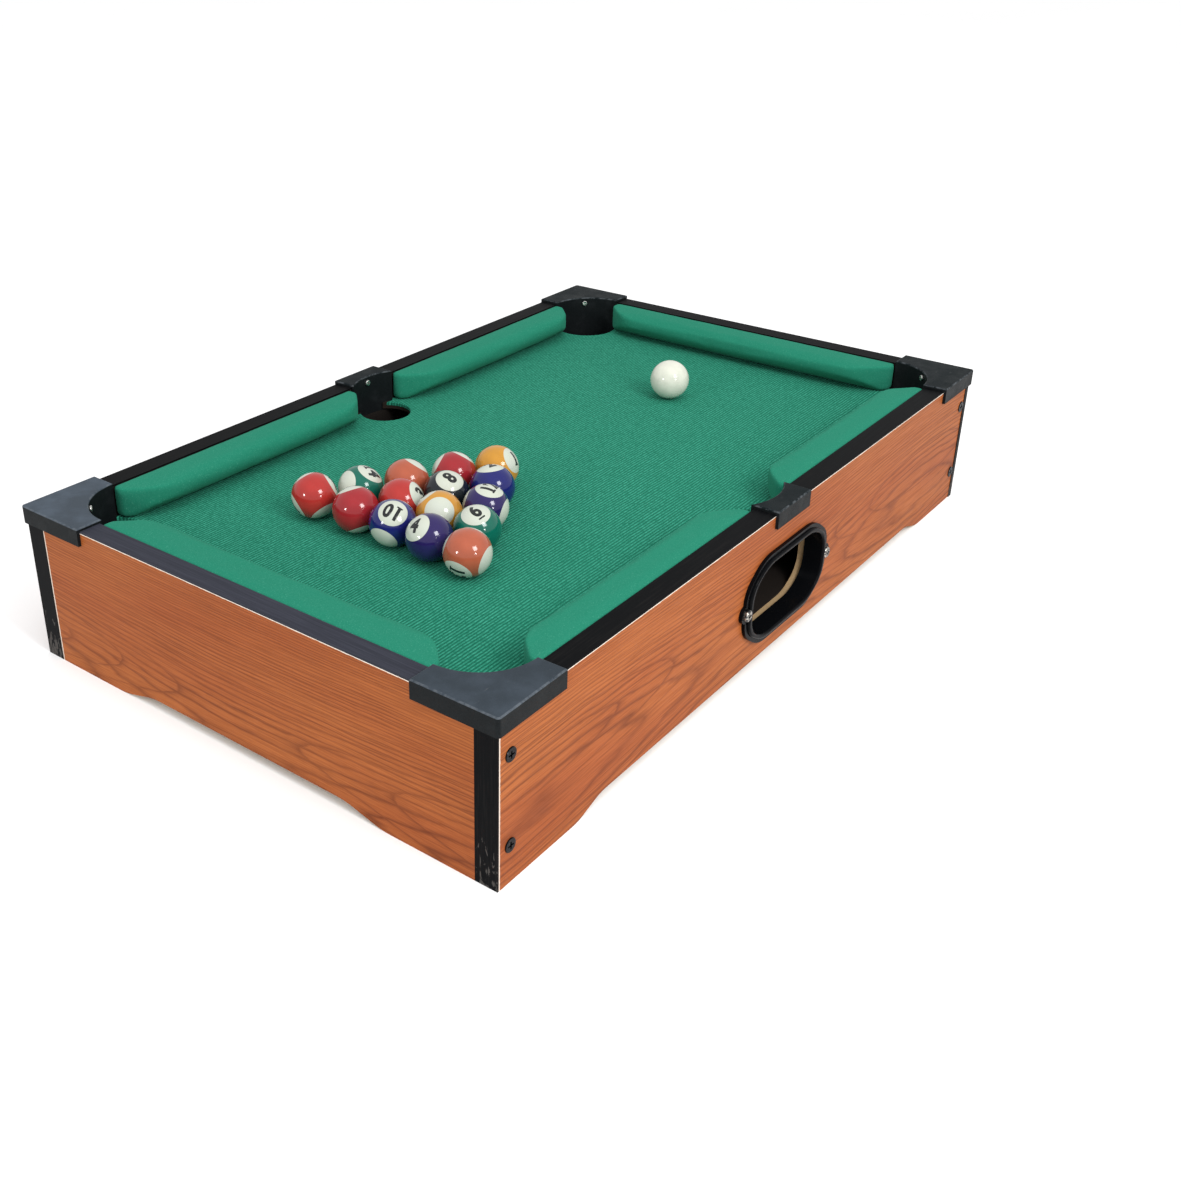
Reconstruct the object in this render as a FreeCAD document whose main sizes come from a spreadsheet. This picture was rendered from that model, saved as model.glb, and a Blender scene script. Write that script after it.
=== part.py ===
"""Mini pool table with its sixteen balls, in millimetres.

The frame: +X runs along the table, the ball-return opening faces -Y, +Z is up, and the origin is the
middle of the footprint on the surface that the table stands on.
"""
import FreeCAD, Part
import os
import re
import Sketcher

SIZES = {
    # the box frame
    "table_length": 508.0,
    "table_width": 315.0,
    "rail_top": 89.0,
    "board_thick": 12.5,
    "band_thick": 0.8,
    "band_lap_width": 4.4,
    "band_lap_thick": 0.4,
    "arch_rise": 6.0,
    "long_foot": 60.0,
    "long_arch_start": 78.0,
    "short_foot": 66.5,
    "short_arch_start": 89.5,
    # the playfield
    "felt_top": 70.5,
    "felt_thick": 0.5,
    "playfield_thick": 4.0,
    "corner_hole_radius": 22.6,
    "corner_hole_inset": 27.5,
    "middle_hole_radius": 16.5,
    "middle_hole_inset": 25.0,
    "cleat_size": 12.0,
    "cleat_from_middle": 60.0,
    "cleat_from_end": 74.0,
    # the pocket caps
    "cap_thick": 2.0,
    "skirt_thick": 1.8,
    "skirt_drop": 8.0,
    "cap_arm": 45.5,
    "liner_radius": 31.7,
    "liner_thick": 1.3,
    "liner_bottom": 58.0,
    "middle_cap_half": 18.3,
    "middle_arc_radius": 35.0,
    "middle_arc_inset": 44.5,
    "middle_liner_bottom": 64.5,
    "corner_block_leg": 19.3,
    "corner_block_bottom": 40.0,
    # the cushions
    "cushion_top": 88.8,
    "cushion_front_top": 88.1,
    "cushion_foot": 9.0,
    "long_cushion_tip": 35.8,
    "short_cushion_tip": 37.3,
    "long_cushion_reach": 22.5,
    "short_cushion_reach": 24.0,
    "cushion_nose_radius": 5.2,
    "cushion_end_inset": 46.0,
    "cushion_middle_gap": 20.0,
    "cushion_end_face": 6.5,
    # the ball return
    "return_height": 42.0,
    "return_half_length": 40.5,
    "return_half_flat": 25.0,
    "return_half_height": 21.0,
    "return_half_side": 13.0,
    "sleeve_thick": 1.2,
    "sleeve_depth": 8.5,
    "bead_width": 2.8,
    "bead_thick": 3.4,
    "flange_width": 5.0,
    "flange_thick": 2.0,
    "bezel_lug_offset": 45.6,
    "bezel_lug_radius": 5.0,
    "tray_thick": 3.0,
    "tray_front_top": 20.5,
    "tray_fall_to_front": 11.0,
    "tray_fall_to_middle": 6.0,
    "bearer_width": 12.0,
    "bearer_depth": 11.0,
    # the fasteners
    "panel_screw_inset": 8.5,
    "panel_screw_low": 20.4,
    "panel_screw_high": 67.4,
    "panel_screw_length": 38.0,
    "panel_screw_radius": 1.7,
    "panel_head_radius": 3.6,
    "panel_head_depth": 2.4,
    "panel_head_raise": 0.6,
    "pocket_screw_height": 86.6,
    "pocket_screw_length": 8.0,
    "pocket_screw_radius": 1.1,
    "pocket_head_radius": 2.0,
    "pocket_head_thick": 1.1,
    "pocket_head_gap": 0.12,
    "bezel_screw_length": 11.0,
    "bezel_screw_radius": 1.4,
    "bezel_head_radius": 3.3,
    "bezel_head_thick": 2.0,
    "drive_width": 0.9,
    "drive_depth": 1.1,
    # the balls
    "ball_diameter": 25.4,
    "ball_gap": 0.15,
}
RETURN_END_ROUNDING = 15.0
RETURN_TOP_ROUNDING = 27.0
RIM_AT_ENDS = 1.2
RIM_AT_SHOULDERS = 0.8
LONG_ARCH_ROUNDING = 30.0
SHORT_ARCH_ROUNDING = 40.0
CAP_EDGE_ROUNDING = 0.9
CAP_CORNER_ROUNDING = 1.8
BEZEL_EDGE_ROUNDING = 1.2
HEAD_RIM_ROUNDING = 0.35
HEAD_DOME_SHARE = 0.55
CUSHION_END_ROUNDING = 26.0
DRIVE_REACH = 1.1
CLOSE = 1e-4
ROUGH_RING = 50.0

# where each ball stands: along the table, across the table
BALLS = {
    "ball_01": (-49.5, 2.0),
    "ball_02": (-72.0, -12.5),
    "ball_15": (-71.5, 15.5),
    "ball_12": (-94.5, -25.5),
    "ball_08": (-94.0, 2.5),
    "ball_05": (-95.5, 30.0),
    "ball_06": (-117.5, -38.0),
    "ball_09": (-116.5, -11.5),
    "ball_03": (-117.0, 15.0),
    "ball_14": (-118.0, 44.0),
    "ball_13": (-141.5, -51.0),
    "ball_04": (-140.5, -25.0),
    "ball_10": (-139.5, 1.0),
    "ball_07": (-139.5, 27.5),
    "ball_11": (-140.5, 57.5),
    "cue_ball": (134.5, -0.5),
}

# each corner: the signs of its X and Y, and the turn that brings the front left one to it
CORNERS = {
    "front_left": (-1, -1, 0),
    "front_right": (1, -1, 90),
    "rear_right": (1, 1, 180),
    "rear_left": (-1, 1, 270),
}
# each long side: the sign of its Y, and the turn that brings the front one to it
LONG_SIDES = {"front": (-1, 0), "rear": (1, 180)}
SHORT_SIDES = {"left": -1, "right": 1}

doc = FreeCAD.newDocument("mini_pool_table")
nodes = []


# ---- small helpers ---------------------------------------------------------------------------------

def bound(formula):
    """The formula with each size's name pointing at its cell in the sheet."""
    return re.sub(r"[a-z0-9]+_[a-z0-9_]+", lambda word: "Sizes." + word.group(), str(formula))


def fill_sheet():
    sheet = doc.addObject("Spreadsheet::Sheet", "Sizes")
    for row, (alias, size) in enumerate(SIZES.items(), start=1):
        sheet.set(f"A{row}", alias)
        sheet.set(f"B{row}", str(size))
        sheet.setAlias(f"B{row}", alias)
    doc.recompute()


def turned(axis, degrees):
    return FreeCAD.Rotation(FreeCAD.Vector(*axis), degrees)


UPRIGHT = turned((0, 0, 1), 0)
INTO_TABLE = turned((1, 0, 0), -90)


def put(piece, at, turn=UPRIGHT):
    piece.Placement = FreeCAD.Placement(FreeCAD.Vector(), turn)
    for axis, formula in zip("xyz", at):
        piece.setExpression("Placement.Base." + axis, bound(formula))
    return piece


def primitive(kind, name, sizes, at=(0, 0, 0), turn=UPRIGHT):
    piece = doc.addObject("Part::" + kind, name)
    for size_name, formula in sizes.items():
        piece.setExpression(size_name, bound(formula))
    return put(piece, at, turn)


def box(name, length, width, height, at):
    return primitive("Box", name, {"Length": length, "Width": width, "Height": height}, at)


def cylinder(name, radius, height, at=(0, 0, 0), turn=UPRIGHT):
    return primitive("Cylinder", name, {"Radius": radius, "Height": height}, at, turn)


def fuse(name, *pieces):
    whole = doc.addObject("Part::MultiFuse", name)
    whole.Shapes = list(pieces)
    whole.Refine = True
    return whole


def together(name, *pieces):
    group = doc.addObject("Part::Compound", name)
    group.Links = list(pieces)
    return group


def cut(name, base, *tools):
    rest = base
    for number, tool in enumerate(tools, start=1):
        step = doc.addObject("Part::Cut", name if number == len(tools) else f"{name}_step{number}")
        step.Base = rest
        step.Tool = tool
        rest = step
    return rest


def common(name, one, other):
    overlap = doc.addObject("Part::Common", name)
    overlap.Base = one
    overlap.Tool = other
    return overlap


def rounded(name, base, radius, wanted):
    """The base with every edge that passes the test rounded."""
    doc.recompute()
    numbers = [number for number, edge in enumerate(base.Shape.Edges, start=1) if wanted(edge)]
    fillet = doc.addObject("Part::Fillet", name)
    fillet.Base = base
    fillet.Edges = [(number, radius, radius) for number in numbers]
    return fillet


def middle_of(edge):
    return edge.valueAt((edge.FirstParameter + edge.LastParameter) / 2)


def runs_along(edge, axis):
    """Whether a straight edge lies along an axis, given as 0 for X, 1 for Y or 2 for Z."""
    ends = edge.Vertexes
    if len(ends) != 2 or edge.Curve.TypeId != "Part::GeomLine":
        return False
    step = ends[1].Point - ends[0].Point
    return all(abs(step[other]) < CLOSE for other in range(3) if other != axis)


def body_from_outline(name, plane, corners, length):
    """A PartDesign body: a closed outline of straight sides on an origin plane, padded by a length."""
    body = doc.addObject("PartDesign::Body", name)
    sketch = body.newObject("Sketcher::SketchObject", name + "_outline")
    support = next(feature for feature in body.Origin.OriginFeatures if feature.Role == plane)
    sketch.AttachmentSupport = [(support, "")]
    sketch.MapMode = "FlatFace"
    count = len(corners)
    # the sides start on a rough ring, and the constraints take each corner to its place
    spoke = FreeCAD.Vector(ROUGH_RING, 0, 0)
    ring = [turned((0, 0, 1), 360 * number / count).multVec(spoke) for number in range(count)]
    for number in range(count):
        sketch.addGeometry(Part.LineSegment(ring[number], ring[(number + 1) % count]), False)
    for number in range(count):
        sketch.addConstraint(Sketcher.Constraint("Coincident", number, 2, (number + 1) % count, 1))
    for number, (across, up) in enumerate(corners):
        start = ring[number]
        for kind, distance, formula in (("DistanceX", start.x, across), ("DistanceY", start.y, up)):
            index = sketch.addConstraint(Sketcher.Constraint(kind, -1, 1, number, 1, distance))
            sketch.setExpression(f"Constraints[{index}]", bound(formula))
    pad = body.newObject("PartDesign::Pad", name + "_pad")
    pad.Profile = sketch
    pad.setExpression("Length", bound(length))
    return body


def round_body(body, radius, wanted):
    """A PartDesign fillet on the body's edges that pass the test."""
    doc.recompute()
    pad = body.Tip
    edges = [f"Edge{number}" for number, edge in enumerate(pad.Shape.Edges, start=1) if wanted(edge)]
    fillet = body.newObject("PartDesign::Fillet", body.Name + "_rounding")
    fillet.Base = (pad, edges)
    fillet.Radius = radius
    body.Tip = fillet
    return body


def node(piece, name):
    piece.Label = name
    nodes.append(piece)
    return piece


def signed(sign, formula):
    return f"{'-' if sign < 0 else ''}({formula})"


# ---- fasteners -------------------------------------------------------------------------------------

def drive_cross(name, at, reach, turn=INTO_TABLE):
    """The two crossing slots of a cross-head drive, sunk along the screw."""
    bars = []
    for number, (length, width) in enumerate(((reach, "drive_width"), ("drive_width", reach))):
        corner = (f"-({length}) / 2", f"-({width}) / 2", "-drive_depth")
        bars.append(box(f"{name}_bar{number}", length, width, "2 * drive_depth", corner))
    return put(fuse(name, *bars), at, turn)


def countersunk_screw(name, along, height):
    """A wood screw driven in +Y through a face at Y 0: its full solid, and the one with the drive cut."""
    face_at = (along, 0, height)
    shank = cylinder(name + "_shank", "panel_screw_radius", "panel_screw_length", face_at, INTO_TABLE)
    cone_sizes = {
        "Radius1": "panel_head_radius",
        "Radius2": "panel_screw_radius",
        "Height": "panel_head_depth",
    }
    cone = primitive("Cone", name + "_cone", cone_sizes, face_at, INTO_TABLE)
    rim_at = (along, "-panel_head_raise", height)
    rim = cylinder(name + "_rim", "panel_head_radius", "panel_head_raise", rim_at, INTO_TABLE)
    dome = rounded(name + "_dome", rim, HEAD_RIM_ROUNDING, lambda edge: middle_of(edge).y < -CLOSE)
    full = fuse(name + "_full", shank, cone, dome)
    driven = cut(name, full, drive_cross(name + "_drive", rim_at, f"{DRIVE_REACH} * panel_head_radius"))
    return full, driven


def panel_screws(side):
    sign, turn = LONG_SIDES[side]
    full_ones = []
    driven_ones = []
    for end in (-1, 1):
        for level in ("low", "high"):
            along = signed(end, "table_length / 2 - panel_screw_inset")
            name = f"{side}_screw_{'left' if end < 0 else 'right'}_{level}"
            full, driven = countersunk_screw(name, along, "panel_screw_" + level)
            full_ones.append(full)
            driven_ones.append(driven)
    face = (0, signed(sign, "table_width / 2"), 0)
    stand = turned((0, 0, 1), turn)
    holes = put(together(side + "_screw_holes", *full_ones), face, stand)
    return holes, put(together(side + "_screws_group", *driven_ones), face, stand)


def round_head_screw(name, radius, length, head_radius, head_thick, at, turn):
    """A screw with a domed head: its shank runs along its own +Z from the seat of the head."""
    shank = cylinder(name + "_shank", radius, length)
    head = cylinder(name + "_head", head_radius, head_thick, (0, 0, f"-{head_thick}"))
    dome_radius = HEAD_DOME_SHARE * SIZES[head_thick]
    dome = rounded(name + "_dome", head, dome_radius, lambda edge: middle_of(edge).z < -CLOSE)
    full = put(fuse(name + "_full", shank, dome), at, turn)
    slots = drive_cross(name + "_drive", (0, 0, f"-{head_thick}"), f"{DRIVE_REACH} * {head_radius}", UPRIGHT)
    driven = put(cut(name, fuse(name + "_blank", shank, dome), slots), at, turn)
    return full, driven


# ---- the box frame ---------------------------------------------------------------------------------

def arched_outline(half, foot, arch_start):
    """A board's face: level top, and a low arch between two feet along the bottom."""
    top = "rail_top - band_thick"
    return [
        (f"-({half})", 0),
        (f"-({foot})", 0),
        (f"-({arch_start})", "arch_rise"),
        (arch_start, "arch_rise"),
        (foot, 0),
        (half, 0),
        (half, top),
        (f"-({half})", top),
    ]


def arch_edge(edge, across, half):
    """Whether an edge is one of the four where a board's arch bends, given half the board's length."""
    middle = middle_of(edge)
    through = 1 - across
    low = middle.z < SIZES["arch_rise"] + CLOSE
    return runs_along(edge, through) and low and abs(middle[across]) < half - CLOSE


def middle_notch(name, sign):
    """The round recess in a long rail that the middle pocket wall sits in."""
    at = (0, signed(sign, "table_width / 2 - middle_arc_inset"), "middle_liner_bottom")
    return cylinder(name, "middle_arc_radius + liner_thick", "rail_top", at)


def long_panel(side, screw_holes, *more_holes):
    sign = LONG_SIDES[side][0]
    half = "table_length / 2 - band_thick"
    outline = arched_outline(half, "table_length / 2 - long_foot", "table_length / 2 - long_arch_start")
    blank = body_from_outline(side + "_panel_blank", "XZ_Plane", outline, "board_thick")
    half_length = SIZES["table_length"] / 2 - SIZES["band_thick"]
    round_body(blank, LONG_ARCH_ROUNDING, lambda edge: arch_edge(edge, 0, half_length))
    # the outline's plane is the board's face on its +Y side
    high_y = "-table_width / 2 + board_thick" if sign < 0 else "table_width / 2"
    low_y = "-table_width / 2" if sign < 0 else "table_width / 2 - board_thick"
    put(blank, (0, high_y, 0))
    notch = middle_notch(side + "_panel_notch", sign)
    node(cut(side + "_panel_cut", blank, notch, screw_holes, *more_holes), side + "_panel")

    top = box(side + "_top_blank", f"2 * ({half})", "board_thick", "band_thick",
              (f"-({half})", low_y, "rail_top - band_thick"))
    node(cut(side + "_top_cut", top, middle_notch(side + "_top_notch", sign)), side + "_top_band")

    bands = []
    for end in (-1, 1):
        name = f"{side}_end_band_{'left' if end < 0 else 'right'}"
        start = half if end > 0 else "-table_length / 2"
        bands.append(box(name, "band_thick", "board_thick", "rail_top", (start, low_y, 0)))
    # the band laps round onto the outer face at the board's right-hand end
    lap_x = "table_length / 2 - band_lap_width" if sign < 0 else "-table_length / 2"
    lap_y = "-table_width / 2 - band_lap_thick" if sign < 0 else "table_width / 2"
    lap = box(side + "_band_lap", "band_lap_width", "band_lap_thick", "rail_top - skirt_drop",
              (lap_x, lap_y, 0))
    lapped = 1 if sign < 0 else 0
    bands[lapped] = fuse(side + "_lapped_band", bands[lapped], lap)
    node(together(side + "_end_bands_group", *bands), side + "_end_bands")


def short_panel(side, screw_holes):
    sign = SHORT_SIDES[side]
    half = "table_width / 2 - board_thick"
    outline = arched_outline(half, "table_width / 2 - short_foot", "table_width / 2 - short_arch_start")
    blank = body_from_outline(side + "_panel_blank", "YZ_Plane", outline, "board_thick")
    half_length = SIZES["table_width"] / 2 - SIZES["board_thick"]
    round_body(blank, SHORT_ARCH_ROUNDING, lambda edge: arch_edge(edge, 1, half_length))
    start = "-table_length / 2" if sign < 0 else "table_length / 2 - board_thick"
    put(blank, (start, 0, 0))
    node(cut(side + "_panel_cut", blank, *screw_holes), side + "_panel")
    band = box(side + "_top_blank", "board_thick", f"2 * ({half})", "band_thick",
               (start, f"-({half})", "rail_top - band_thick"))
    node(band, side + "_top_band")


# ---- the ball return -------------------------------------------------------------------------------

def return_prism(name, grow, length, at):
    """A long eight-sided prism with rounded corners: the return opening's outline grown by a margin.

    The rim is a little wider at the two ends than over the top.
    """
    side = f"return_half_length + {RIM_AT_ENDS} * {grow}"
    flat = f"return_half_flat + {RIM_AT_SHOULDERS} * {grow}"
    high = f"return_half_height + {grow}"
    corners = [
        (f"-({side})", "-return_half_side"),
        (f"-({flat})", f"-({high})"),
        (flat, f"-({high})"),
        (side, "-return_half_side"),
        (side, "return_half_side"),
        (flat, high),
        (f"-({flat})", high),
        (f"-({side})", "return_half_side"),
    ]
    body = body_from_outline(name, "XZ_Plane", corners, length)

    def at_an_end(edge):
        return abs(abs(middle_of(edge).z) - SIZES["return_half_side"]) < CLOSE

    round_body(body, RETURN_END_ROUNDING, lambda edge: runs_along(edge, 1) and at_an_end(edge))
    level = body.Shape.BoundBox.ZMax
    round_body(body, RETURN_TOP_ROUNDING,
               lambda edge: runs_along(edge, 1) and abs(abs(middle_of(edge).z) - level) < CLOSE)
    return put(body, at)


def return_opening():
    """The hole through the front board that the bezel's sleeve fills."""
    at = (0, "-table_width / 2 + board_thick", "return_height")
    return return_prism("return_hole", "sleeve_thick", "board_thick", at)


def return_bezel():
    face = "-table_width / 2"
    flange = return_prism("bezel_flange", "flange_width", "flange_thick", (0, face, "return_height"))
    bead = return_prism("bezel_bead", "bead_width", "bead_thick", (0, face, "return_height"))
    sleeve = return_prism("bezel_sleeve", "sleeve_thick", "sleeve_depth",
                          (0, f"{face} + sleeve_depth", "return_height"))
    lugs = []
    seats = []
    screws = []
    shanks = []
    for end in (-1, 1):
        name = f"bezel_{'left' if end < 0 else 'right'}"
        along = signed(end, "bezel_lug_offset")
        lug_at = (along, f"{face} - flange_thick", "return_height")
        lugs.append(cylinder(name + "_lug", "bezel_lug_radius", "flange_thick", lug_at, INTO_TABLE))
        seat_at = (along, f"{face} - flange_thick - bead_thick", "return_height")
        seats.append(cylinder(name + "_seat", "bezel_head_radius", "bead_thick", seat_at, INTO_TABLE))
        full, driven = round_head_screw(name + "_screw", "bezel_screw_radius", "bezel_screw_length",
                                        "bezel_head_radius", "bezel_head_thick", lug_at, INTO_TABLE)
        shanks.append(full)
        screws.append(driven)
    solid = fuse("bezel_solid", flange, bead, sleeve, *lugs)
    depth = "board_thick + 2 * bead_thick"
    hole = return_prism("bezel_hole", "0", depth, (0, f"{face} + board_thick", "return_height"))
    outer = SIZES["table_width"] / 2 + SIZES["bead_thick"]

    def outward_edge(edge):
        return all(abs(corner.Point.y + outer) < CLOSE for corner in edge.Vertexes)

    ring = rounded("bezel_ring", cut("bezel_open", solid, hole), BEZEL_EDGE_ROUNDING, outward_edge)
    node(cut("bezel_cut", ring, together("bezel_seats", *seats), *shanks), "return_bezel")
    node(together("bezel_screws_group", *screws), "bezel_screws")
    return shanks


def sloping_strip(name, sign, start, run, top, depth):
    """A board in the space under the playfield: it falls to the front, and from its end to the middle.

    It starts at a distance from the middle, runs outwards, and its upper face at the middle line and the
    front board would be at the height given as its top.
    """
    half_y = "(table_width / 2 - board_thick)"
    half_x = "(table_length / 2 - board_thick)"
    front_high = f"{top} + tray_fall_to_middle * ({start}) / {half_x}"
    rear_high = f"{front_high} + tray_fall_to_front"
    profile = [
        (f"-{half_y}", f"{front_high} - {depth}"),
        (half_y, f"{rear_high} - {depth}"),
        (half_y, rear_high),
        (f"-{half_y}", front_high),
    ]
    strip = body_from_outline(name, "YZ_Plane", profile, run)
    pad = strip.Tip
    pad.UseCustomVector = True
    pad.AlongSketchNormal = True
    slope = SIZES["tray_fall_to_middle"] / (SIZES["table_length"] / 2 - SIZES["board_thick"])
    pad.Direction = FreeCAD.Vector(sign, 0, slope)
    return put(strip, (signed(sign, start), 0, 0))


def tray_parts():
    """The two halves of the floor that balls roll down to the opening, and the three bearers below them."""
    half_x = "table_length / 2 - board_thick"
    under_tray = "tray_front_top - tray_thick"
    for side, sign in SHORT_SIDES.items():
        floor = sloping_strip(side + "_tray_floor", sign, "0", half_x, "tray_front_top", "tray_thick")
        node(floor, side + "_tray")
        bearer = sloping_strip(side + "_bearer", sign, f"{half_x} - bearer_width", "bearer_width",
                               under_tray, "bearer_depth")
        node(bearer, side + "_tray_bearer")
    half_y = "table_width / 2 - board_thick"
    profile = [
        (f"-({half_y})", f"{under_tray} - bearer_depth"),
        (half_y, f"{under_tray} - bearer_depth + tray_fall_to_front"),
        (half_y, f"{under_tray} + tray_fall_to_front"),
        (f"-({half_y})", under_tray),
    ]
    middle = body_from_outline("middle_bearer", "YZ_Plane", profile, "bearer_width")
    node(put(middle, ("-bearer_width / 2", 0, 0)), "middle_tray_bearer")


# ---- the playfield ---------------------------------------------------------------------------------

def pocket_cutters(name):
    """One upright cutter for each of the six pockets, with the room behind each pocket wall."""
    cutters = []
    for corner, (sign_x, sign_y, turn) in CORNERS.items():
        stem = f"{name}_{corner}"
        hole = cylinder(stem + "_hole", "corner_hole_radius", "rail_top",
                        ("corner_hole_inset", "corner_hole_inset", 0))
        square = box(stem + "_square", "cap_arm", "cap_arm", "rail_top", (0, 0, 0))
        round_part = cylinder(stem + "_round", "liner_radius", "rail_top", ("cap_arm", "cap_arm", 0))
        pocket = fuse(stem + "_pocket", hole, cut(stem + "_behind", square, round_part))
        at = (signed(sign_x, "table_length / 2"), signed(sign_y, "table_width / 2"), 0)
        cutters.append(put(pocket, at, turned((0, 0, 1), turn)))
    for side, (sign, turn) in LONG_SIDES.items():
        stem = f"{name}_{side}"
        hole = cylinder(stem + "_hole", "middle_hole_radius", "rail_top", (0, "middle_hole_inset", 0))
        slab = box(stem + "_slab", "2 * middle_cap_half", "middle_arc_inset", "rail_top",
                   ("-middle_cap_half", 0, 0))
        round_part = cylinder(stem + "_round", "middle_arc_radius", "rail_top", (0, "middle_arc_inset", 0))
        pocket = fuse(stem + "_pocket", hole, cut(stem + "_behind", slab, round_part))
        at = (0, signed(sign, "table_width / 2"), 0)
        cutters.append(put(pocket, at, turned((0, 0, 1), turn)))
    return cutters


def playfield_sheet(name, thick, top):
    half_x = "table_length / 2 - board_thick"
    half_y = "table_width / 2 - board_thick"
    sheet = box(name + "_blank", f"2 * ({half_x})", f"2 * ({half_y})", thick,
                (f"-({half_x})", f"-({half_y})", f"{top} - {thick}"))
    node(cut(name + "_cut", sheet, *pocket_cutters(name)), name)


def cleats():
    """Battens on the boards' inner faces that carry the playfield between the pockets."""
    low = "felt_top - felt_thick - playfield_thick - cleat_size"
    inner_y = "table_width / 2 - board_thick"
    inner_x = "table_length / 2 - board_thick"
    for side, (sign, _turn) in LONG_SIDES.items():
        run = f"{inner_x} - cleat_from_end - cleat_from_middle"
        low_y = f"-({inner_y})" if sign < 0 else f"{inner_y} - cleat_size"
        for end, start in (("left", f"-({inner_x}) + cleat_from_end"), ("right", "cleat_from_middle")):
            piece = box(f"{side}_{end}_cleat_box", run, "cleat_size", "cleat_size", (start, low_y, low))
            node(piece, f"{side}_{end}_cleat")
    for side, sign in SHORT_SIDES.items():
        half_run = f"({inner_y} - cleat_from_middle)"
        start_x = f"-({inner_x})" if sign < 0 else f"{inner_x} - cleat_size"
        piece = box(f"{side}_cleat_box", "cleat_size", f"2 * {half_run}", "cleat_size",
                    (start_x, f"-{half_run}", low))
        node(piece, side + "_cleat")


# ---- pocket caps -----------------------------------------------------------------------------------

def top_edge(edge):
    cap_top = SIZES["rail_top"] + SIZES["cap_thick"]
    return all(abs(corner.Point.z - cap_top) < CLOSE for corner in edge.Vertexes)


def outer_corner(edge):
    """The upright edge of a corner cap's plate that stands at the table's own corner."""
    middle = middle_of(edge)
    return runs_along(edge, 2) and middle.x < 0 and middle.y < 0


def corner_cap(corner):
    """Top plate with its outer skirt and its curved pocket wall, a block behind it, and a screw."""
    sign_x, sign_y, turn = CORNERS[corner]
    at = (signed(sign_x, "table_length / 2"), signed(sign_y, "table_width / 2"), 0)
    stand = turned((0, 0, 1), turn)
    skirt_low = "rail_top - skirt_drop"
    cap_top = "rail_top + cap_thick"
    over_all = "cap_arm + skirt_thick"
    outer = box(corner + "_cap_outer", over_all, over_all, "skirt_drop + cap_thick",
                ("-skirt_thick", "-skirt_thick", skirt_low))
    blunt = rounded(corner + "_cap_blunt", outer, CAP_CORNER_ROUNDING, outer_corner)
    inner = box(corner + "_cap_inner", "2 * cap_arm", "2 * cap_arm", "skirt_drop", (0, 0, skirt_low))
    arc = cylinder(corner + "_cap_arc", "liner_radius", "2 * rail_top", ("cap_arm", "cap_arm", 0))
    plate = cut(corner + "_cap_plate", blunt, inner, arc)
    wall = cylinder(corner + "_wall", "liner_radius + liner_thick", f"{cap_top} - liner_bottom",
                    ("cap_arm", "cap_arm", "liner_bottom"))
    quarter = box(corner + "_quarter", "cap_arm", "cap_arm", "2 * rail_top", (0, 0, 0))
    liner = common(corner + "_liner", cut(corner + "_tube", wall, arc), quarter)
    whole = fuse(corner + "_cap_whole", plate, liner)
    smooth = rounded(corner + "_cap_smooth", whole, CAP_EDGE_ROUNDING, top_edge)

    leg = "corner_block_leg"
    inset = "board_thick"
    block_outline = [(inset, inset), (f"{inset} + {leg}", inset), (inset, f"{inset} + {leg}")]
    block = body_from_outline(corner + "_block_blank", "XY_Plane", block_outline,
                              "rail_top - corner_block_bottom")
    put(block, (0, 0, "corner_block_bottom"))

    # the screw runs out along the corner's diagonal, its head just clear of the hollow wall
    seat = "cap_arm - (liner_radius - pocket_head_gap) * sqrt(0.5)"
    outward = turned((0, 0, 1), 225).multiply(turned((0, 1, 0), 90))
    full, driven = round_head_screw(corner + "_pocket_screw", "pocket_screw_radius", "pocket_screw_length",
                                    "pocket_head_radius", "pocket_head_thick",
                                    (seat, seat, "pocket_screw_height"), outward)
    node(put(cut(corner + "_cap_cut", smooth, full), at, stand), corner + "_corner_cap")
    node(put(cut(corner + "_block_cut", block, full), at, stand), corner + "_corner_block")
    return put(together(corner + "_screw_moved", driven), at, stand)


def middle_cap(side):
    """A saddle over the long rail with the middle pocket's wall, and its screw."""
    sign, turn = LONG_SIDES[side]
    at = (0, signed(sign, "table_width / 2"), 0)
    stand = turned((0, 0, 1), turn)
    skirt_low = "rail_top - skirt_drop"
    cap_top = "rail_top + cap_thick"
    half = "middle_cap_half"
    over_all = "middle_arc_inset + skirt_thick"
    outer = box(side + "_cap_outer", f"2 * {half}", over_all, "skirt_drop + cap_thick",
                (f"-{half}", "-skirt_thick", skirt_low))
    inner = box(side + "_cap_inner", f"4 * {half}", "2 * middle_arc_inset", "skirt_drop",
                (f"-2 * {half}", 0, skirt_low))
    arc = cylinder(side + "_cap_arc", "middle_arc_radius", "2 * rail_top", (0, "middle_arc_inset", 0))
    plate = cut(side + "_cap_plate", outer, inner, arc)
    wall = cylinder(side + "_wall", "middle_arc_radius + liner_thick", f"{cap_top} - middle_liner_bottom",
                    (0, "middle_arc_inset", "middle_liner_bottom"))
    window = box(side + "_window", f"2 * {half}", "middle_arc_inset", "2 * rail_top", (f"-{half}", 0, 0))
    liner = common(side + "_liner", cut(side + "_tube", wall, arc), window)
    whole = fuse(side + "_cap_whole", plate, liner)
    smooth = rounded(side + "_cap_smooth", whole, CAP_EDGE_ROUNDING, top_edge)
    seat = "middle_arc_inset - middle_arc_radius + pocket_head_gap"
    full, driven = round_head_screw(side + "_pocket_screw", "pocket_screw_radius", "pocket_screw_length",
                                    "pocket_head_radius", "pocket_head_thick",
                                    (0, seat, "pocket_screw_height"), turned((1, 0, 0), 90))
    node(put(cut(side + "_cap_cut", smooth, full), at, stand), side + "_middle_cap")
    hole = put(together(side + "_pocket_screw_hole", full), at, stand)
    return hole, put(together(side + "_screw_moved", driven), at, stand)


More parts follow.
